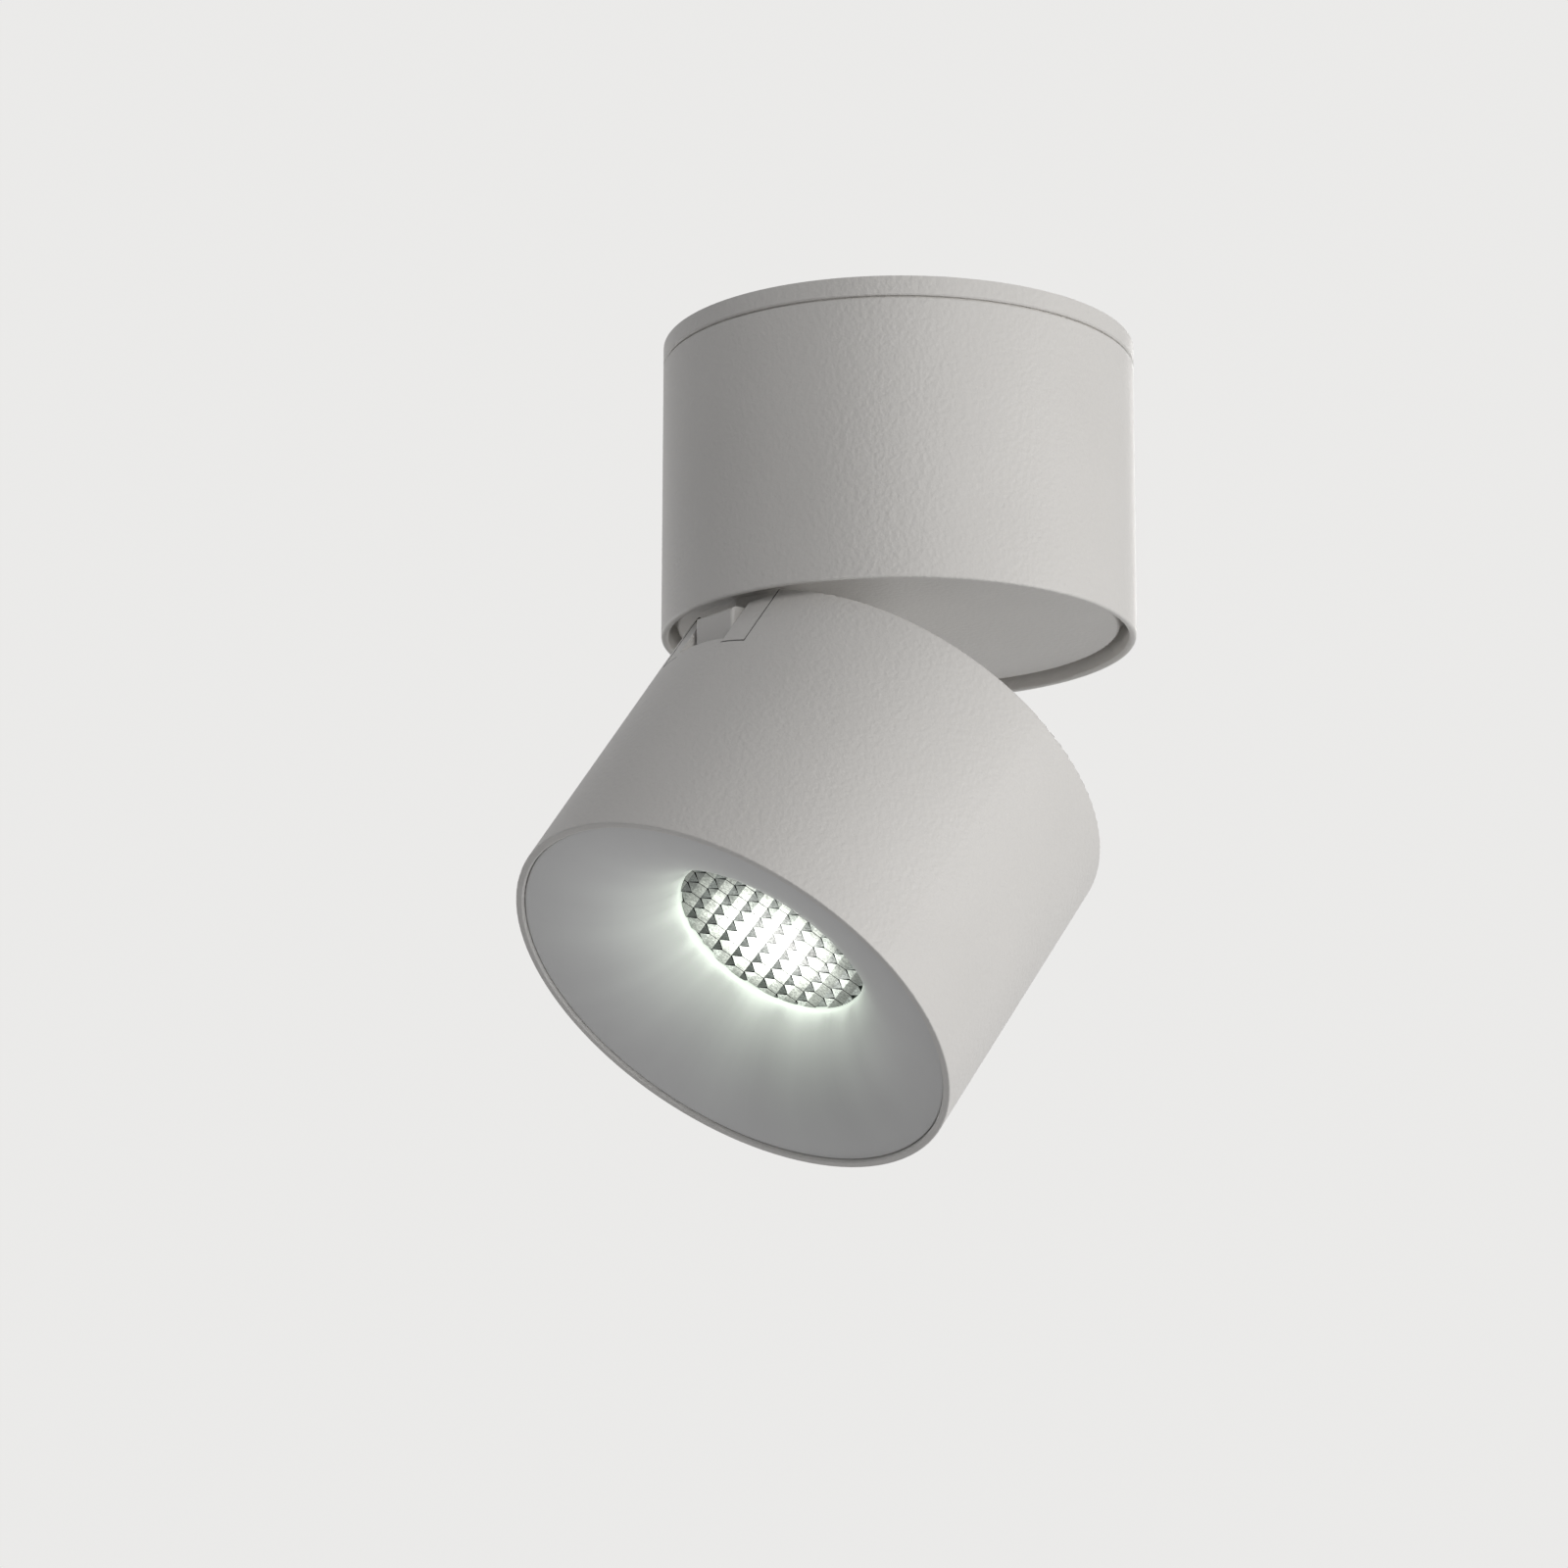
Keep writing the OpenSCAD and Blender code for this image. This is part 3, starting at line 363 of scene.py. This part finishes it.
def bezier(handles, t):
    a, b, c, d = (np.array(h, float) for h in handles)
    s = 1 - t
    return a * s**3 + 3 * b * s * s * t + 3 * c * s * t * t + d * t**3


def bezier_way(handles, t):
    """The curve's direction, of length 1."""
    a, b, c, d = (np.array(h, float) for h in handles)
    s = 1 - t
    v = 3 * (b - a) * s * s + 6 * (c - b) * s * t + 3 * (d - c) * t * t
    return v / np.linalg.norm(v)


def trim_outline():
    """The trim's section: front face, lens seat, back face, guide sleeve and rounded lip."""
    lip = TRIM_R - LIP_R
    drop = APERTURE_DEPTH - TRIM_RECESS
    # The curve's handles, as shares of the horn's width and depth
    handles = [
        (lip, 0.0),
        (lip - 0.43 * (lip - APERTURE_R), 0.07 * drop),
        (APERTURE_R + 0.18 * (lip - APERTURE_R), 0.42 * drop),
        (APERTURE_R, drop),
    ]
    steps = 64
    front = [tuple(bezier(handles, i / steps)) for i in range(steps + 1)]
    sleeve_wall = 1.5
    seat_wall = 1.4
    lens_room = 0.6
    play = 0.1
    sleeve_in = TRIM_R - sleeve_wall
    back = []
    for i in range(steps, -1, -2):
        p = bezier(handles, i / steps)
        d = bezier_way(handles, i / steps)
        q = p + TRIM_WALL * np.array([d[1], -d[0]])
        if q[0] < sleeve_in - 0.3:
            back.append(tuple(q))
    seat_in = LENS_R + play
    seat_out = seat_in + seat_wall
    seat_face = drop + SEAT_T
    socket = seat_face + LENS_T + lens_room
    seat = [
        (APERTURE_R, seat_face), (seat_in, seat_face), (seat_in, socket), (seat_out, socket),
        (seat_out, drop),
    ]
    guide = HEAD_IN_R - play
    guide_start = 5.0
    guide_end = 13.0
    sleeve = [
        (sleeve_in, TRIM_WALL + 0.2), (sleeve_in, guide_end), (guide, guide_end), (guide, guide_start),
        (TRIM_R, guide_start),
    ]
    lip_steps = 12
    lip_arc = [
        (lip + LIP_R * math.cos(a), LIP_R - LIP_R * math.sin(a))
        for a in (math.pi / 2 * i / lip_steps for i in range(lip_steps))
    ]
    return front + seat + back + sleeve + lip_arc


def painted_light_trim():
    """The trim's white, with the lens's light painted on as emission: strongest at the opening, in soft
    streaks up the horn.
    """
    m, nt, s = new_material("trim_painted_light")
    mould_surface(nt, s, *TRIM_WHITE, (0.42, 0.52))
    split = node(nt, "ShaderNodeSeparateXYZ")
    nt.links.new(coords(nt), split.inputs[0])
    flat = node(nt, "ShaderNodeCombineXYZ")
    nt.links.new(split.outputs[0], flat.inputs[0])
    nt.links.new(split.outputs[1], flat.inputs[1])
    radius = node(nt, "ShaderNodeVectorMath", operation="LENGTH")
    nt.links.new(flat.outputs[0], radius.inputs[0])
    way = node(nt, "ShaderNodeVectorMath", operation="NORMALIZE")
    nt.links.new(flat.outputs[0], way.inputs[0])
    side = node(nt, "ShaderNodeVectorMath", operation="DOT_PRODUCT")
    nt.links.new(way.outputs[0], side.inputs[0])
    angle = math.radians(SPILL_SIDE)
    side.inputs[1].default_value = (math.cos(angle), math.sin(angle), 0.0)
    bright_side = remap(nt, side.outputs["Value"], -0.75, 0.75, 0.25, 1.0)
    streaks = node(nt, "ShaderNodeTexNoise", Scale=3.0, Detail=3.0, Roughness=0.6)
    nt.links.new(way.outputs[0], streaks.inputs["Vector"])
    rise = math_node(nt, "SUBTRACT", radius.outputs["Value"], APERTURE_R * MM)
    wide_reach = multiply(nt, spread(nt, streaks.outputs["Fac"], 0.75, 1.2), -SPILL_REACH * MM)
    wide = math_node(nt, "EXPONENT", math_node(nt, "DIVIDE", rise, wide_reach))
    uneven = remap(nt, streaks.outputs["Fac"], 0.35, 0.65, 0.25, 1.6)
    rim = math_node(nt, "EXPONENT", math_node(nt, "DIVIDE", rise, multiply(nt, uneven, -SPILL_RIM * MM)))
    fade = math_node(nt, "ADD", multiply(nt, wide, SPILL_PEAK), multiply(nt, rim, RIM_PEAK))
    nt.links.new(multiply(nt, fade, bright_side), s.inputs["Emission Strength"])
    s.inputs["Emission Color"].default_value = SPILL_TINT
    return m


trim = lathe("trim_horn", trim_outline(), steps=256, matrix=at_front(TRIM_RECESS), material=painted_light_trim())
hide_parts("trim_cone")
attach(trim, "head")


# Lens: the LED's light through its facets, painted on them as a glow by their place and kind

LED_WHITE = (1.0, 1.0, 0.965)


def facet(name, base, peak, centre, reach, turn, tint):
    """A glow that falls off like a bell: centre and both reaches in mm, the bell's turn in degrees."""
    m, nt, s = new_material(name)
    at = coords(nt)
    place = node(nt, "ShaderNodeVectorMath", operation="SUBTRACT")
    nt.links.new(at, place.inputs[0])
    place.inputs[1].default_value = (centre[0] * MM, centre[1] * MM, 0.0)
    spin = node(nt, "ShaderNodeVectorRotate", rotation_type="Z_AXIS")
    spin.inputs["Angle"].default_value = -math.radians(turn)
    nt.links.new(place.outputs[0], spin.inputs["Vector"])
    scaled = node(nt, "ShaderNodeVectorMath", operation="MULTIPLY")
    scaled.inputs[1].default_value = (1 / (reach[0] * MM), 1 / (reach[1] * MM), 0.0)
    nt.links.new(spin.outputs[0], scaled.inputs[0])
    square = node(nt, "ShaderNodeVectorMath", operation="DOT_PRODUCT")
    nt.links.new(scaled.outputs[0], square.inputs[0])
    nt.links.new(scaled.outputs[0], square.inputs[1])
    bell = math_node(nt, "EXPONENT", multiply(nt, square.outputs["Value"], -1.0))
    uneven = spread(nt, noise(nt, at, 5.0, detail=1.0), 0.7, 1.3)
    speckle = remap(nt, noise(nt, at, 0.5, detail=2.5, rough=0.65), 0.35, 0.65, 0.55, 1.3)
    glow = multiply(nt, multiply(nt, bell, uneven), speckle)
    nt.links.new(multiply(nt, glow, peak), s.inputs["Emission Strength"])
    nt.links.new(mix_colour(nt, bell, tint, LED_WHITE), s.inputs["Emission Color"])
    nt.links.new(mix_colour(nt, speckle, tuple(c * 0.7 for c in base), base), s.inputs["Base Color"])
    nt.links.new(remap(nt, speckle, 0.7, 1.3, 0.12, 0.28), s.inputs["Roughness"])
    nt.links.new(bump(nt, speckle, 0.006), s.inputs["Normal"])
    return m


# Each cell's top, its two lower tips and its sides, then the plate. Each facet says its name, base
# colour, peak, centre, reach, turn and tint.
TOP, TIP_PAINTED_SHADE, TIP_PAINTED_LIGHT, GROOVE, FLANGE = range(5)
# Facets of one clear plastic, lit and shaded: painted light in their glow and painted shade in their
# darker base colours
FACETS = [
    facet("lens_facet", (0.18, 0.2, 0.18), 4.0, (-2.0, 0.6), (12.0, 11.0), -20.0, (0.93, 1.0, 0.88)),
    facet("lens_tip_painted_shade", (0.05, 0.06, 0.05), 0.85, (2.2, 4.0), (17.0, 11.0), 81.0, (0.82, 0.95, 0.85)),
    facet("lens_tip_painted_light", (0.14, 0.15, 0.14), 4.0, (-3.0, 4.5), (13.0, 11.0), 30.0, (0.9, 1.0, 0.88)),
    facet("lens_groove", (0.012, 0.014, 0.012), 0.5, (0.0, 2.0), (8.0, 8.0), 0.0, (0.7, 0.85, 0.75)),
    facet("lens_flange", (0.03, 0.035, 0.03), 0.8, (0.0, 2.0), (9.0, 9.0), 0.0, (0.9, 1.0, 0.9)),
]


def cell_centres():
    """The cells' middles: a grid of two ways 60 degrees apart."""
    row, column = (
        CELL_PITCH * np.array([math.cos(math.radians(a)), math.sin(math.radians(a))])
        for a in (CELL_TURN, CELL_TURN + 60)
    )
    reach = math.ceil(2 * CELL_FIELD_R / CELL_PITCH)
    for i in range(-reach, reach + 1):
        for j in range(-reach, reach + 1):
            at = (i + CELL_SHIFT_ALONG) * row + (j + CELL_SHIFT_ACROSS) * column
            if np.linalg.norm(at) < CELL_FIELD_R + CELL_CORNER_R / 2:
                yield at


def add_cell(bm, at):
    """A six-sided cell, its front at the lowest Z: a top of four corners and two lower tips."""
    r = (CELL_PITCH - CELL_GROOVE) / math.sqrt(3)
    axis = math.radians(CELL_TURN + 30)
    lean = CELL_LEAN * Vector((math.cos(axis), math.sin(axis), 0))
    foot = 0.2
    # Corners 0 to 5 are at the foot and 6 to 11 in front; 0 and 3 of each six are the tips
    ring = []
    for z_top, z_tip in ((foot, foot), (-CELL_H, CELL_DROP - CELL_H)):
        for k in range(6):
            a = axis + math.radians(60 * k)
            z = z_top if k % 3 else z_tip
            corner = Vector((at[0] + r * math.cos(a), at[1] + r * math.sin(a), z))
            if k % 2 == 0:
                corner += lean
            ring.append(bm.verts.new(corner * MM))
    faces = [((7, 8, 10, 11), TOP), ((6, 7, 11), TIP_PAINTED_SHADE), ((8, 9, 10), TIP_PAINTED_LIGHT)]
    faces += [((k, (k + 1) % 6, 6 + (k + 1) % 6, 6 + k), GROOVE) for k in range(6)]
    for corners, kind in faces:
        bm.faces.new([ring[c] for c in corners]).material_index = kind


def trim_cell(bm, at):
    """Cuts a cell on the edge of the field with flats three degrees apart, to follow the opening."""
    flats_each_side = 4
    apart = math.radians(3.0)
    middle = math.atan2(at[1], at[0])
    for step in range(-flats_each_side, flats_each_side + 1):
        a = middle + step * apart
        out = Vector((math.cos(a), math.sin(a), 0))
        bmesh.ops.bisect_plane(
            bm, geom=bm.verts[:] + bm.edges[:] + bm.faces[:], dist=1e-7,
            plane_co=out * CELL_FIELD_R * MM, plane_no=out, clear_outer=True,
        )


def make_lens():
    """All cells, cut by the trim's opening at the edge, and the plate behind them."""
    bm = bmesh.new()
    for at in cell_centres():
        cell = bmesh.new()
        add_cell(cell, at)
        if np.linalg.norm(at) > CELL_FIELD_R - CELL_CORNER_R:
            trim_cell(cell, at)
        part = bpy.data.meshes.new("cell")
        cell.to_mesh(part)
        cell.free()
        bm.from_mesh(part)
        bpy.data.meshes.remove(part)
    # Round plate that carries the cells, with a bevelled edge and a pinhole at its middle
    bevel = 0.2
    pinhole = 0.01
    outline = [
        (pinhole, 0.0), (LENS_R - bevel, 0.0), (LENS_R, bevel), (LENS_R, LENS_T - bevel),
        (LENS_R - bevel, LENS_T), (pinhole, LENS_T),
    ]
    steps = 192
    rings = [
        [bm.verts.new(Vector((r * math.cos(a), r * math.sin(a), z)) * MM) for r, z in outline]
        for a in (2 * math.pi * i / steps for i in range(steps))
    ]
    for ring, following in zip(rings, rings[1:] + rings[:1]):
        for k in range(len(outline) - 1):
            bm.faces.new((ring[k], ring[k + 1], following[k + 1], following[k])).material_index = FLANGE
    bmesh.ops.recalc_face_normals(bm, faces=bm.faces)
    me = bpy.data.meshes.new("lens_cells")
    bm.to_mesh(me)
    bm.free()
    for m in FACETS:
        me.materials.append(m)
    ob = bpy.data.objects.new("lens_cells", me)
    bpy.context.scene.collection.objects.link(ob)
    ob.matrix_world = at_front(APERTURE_DEPTH + SEAT_T)
    return ob


lens = make_lens()
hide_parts("lens")
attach(lens, "head")


# Stage, light and camera

BACKDROP = (0.83, 0.825, 0.815)
FLOOR_OWN_TONE = 0.8
SKY_TINT = (0.95, 0.96, 1.0)
SKY_STRENGTH = 0.2
LAMP_WARM = (1.0, 0.985, 0.965)
LAMP_COOL = (0.97, 0.98, 1.0)


def seen_ray(nt):
    """1 for rays that show the background: from the camera, or by way of gloss or glass."""
    path = nt.nodes.new("ShaderNodeLightPath")
    shown = math_node(nt, "MAXIMUM", path.outputs["Is Camera Ray"], path.outputs["Is Glossy Ray"])
    return math_node(nt, "MAXIMUM", shown, path.outputs["Is Transmission Ray"])


def stage_floor(size, height):
    """A pale floor with a tone of its own where it is seen: it meets the backdrop and keeps a shadow."""
    m, nt, s = new_material("floor")
    at = coords(nt)
    n = node(nt, "ShaderNodeTexNoise", Scale=3.0, Detail=2.0)
    nt.links.new(at, n.inputs["Vector"])
    pale = mix_colour(nt, n.outputs["Fac"], BACKDROP, tuple(c * 0.985 for c in BACKDROP))
    nt.links.new(pale, s.inputs["Base Color"])
    nt.links.new(pale, s.inputs["Emission Color"])
    nt.links.new(multiply(nt, seen_ray(nt), FLOOR_OWN_TONE), s.inputs["Emission Strength"])
    s.inputs["Roughness"].default_value = 0.9
    h = size / 2
    ob = mesh_object(
        "floor", [(-h, -h, 0), (h, -h, 0), (h, h, 0), (-h, h, 0)], [(0, 1, 2, 3)],
        Matrix.Translation(Vector((0.0, 0.0, height))), m, smooth=False,
    )


def background(nt, colour, strength):
    return node(nt, "ShaderNodeBackground", Color=colour + (1.0,), Strength=strength).outputs[0]


def studio_world():
    """A dim world that lights the lamp, with a pale backdrop for the rays that show it."""
    world = bpy.data.worlds.new("studio")
    bpy.context.scene.world = world
    world.use_nodes = True
    nt = world.node_tree
    nt.nodes.clear()
    mix = nt.nodes.new("ShaderNodeMixShader")
    nt.links.new(seen_ray(nt), mix.inputs["Fac"])
    nt.links.new(background(nt, SKY_TINT, SKY_STRENGTH), mix.inputs[1])
    nt.links.new(background(nt, BACKDROP, 1.0), mix.inputs[2])
    nt.links.new(mix.outputs[0], nt.nodes.new("ShaderNodeOutputWorld").inputs["Surface"])


stage_floor(size=12.0, height=-1.4)
studio_world()


def area_light(name, place, size, power, colour):
    """A round lamp that points at the middle of the object."""
    data = bpy.data.lights.new(name, "AREA")
    data.shape = "DISK"
    data.size = size
    data.energy = power
    data.color = colour
    ob = bpy.data.objects.new(name, data)
    bpy.context.scene.collection.objects.link(ob)
    ob.location = place
    ob.rotation_euler = (MIDDLE - place).to_track_quat("-Z", "Y").to_euler()


# The object's middle, and the camera's ways to the right and towards it
MIDDLE = Vector((0.0, -0.02, -0.09))
RIGHT = Vector((0.6105, 0.7920, 0.0))
TOWARDS = Vector((0.77, -0.593, 0.0)).normalized()


def studio(right, towards, up):
    """A place in metres from the middle, as the camera sees right, near and up."""
    return MIDDLE + RIGHT * right + TOWARDS * towards + Vector((0, 0, up))


area_light("key", studio(1.25, 0.45, 0.05), 0.35, 5.0, LAMP_WARM)
area_light("front", studio(0.45, 1.3, 0.35), 0.5, 5.0, LAMP_WARM)
area_light("back", studio(0.3, -1.2, 0.45), 0.5, 3.0, LAMP_WARM)
area_light("side", studio(-0.85, -0.95, 0.0), 0.5, 2.4, LAMP_WARM)
area_light("fill", studio(0.9, 0.3, -0.75), 0.3, 2.8, LAMP_COOL)

# Camera, fitted to the photo

cam_data = bpy.data.cameras.new("camera")
cam_data.lens = 130.435
cam_data.sensor_width = 36.0
cam_data.clip_start = 0.01
cam_data.clip_end = 50.0
camera = bpy.data.objects.new("camera", cam_data)
bpy.context.scene.collection.objects.link(camera)
camera.location = (0.900589, -0.723494, -0.376864)
CAMERA_TURN = (103.71381, -0.17229, 52.37415)
camera.rotation_euler = Euler([math.radians(a) for a in CAMERA_TURN], "XYZ")
bpy.context.scene.camera = camera
bpy.context.scene.view_settings.view_transform = "Standard"
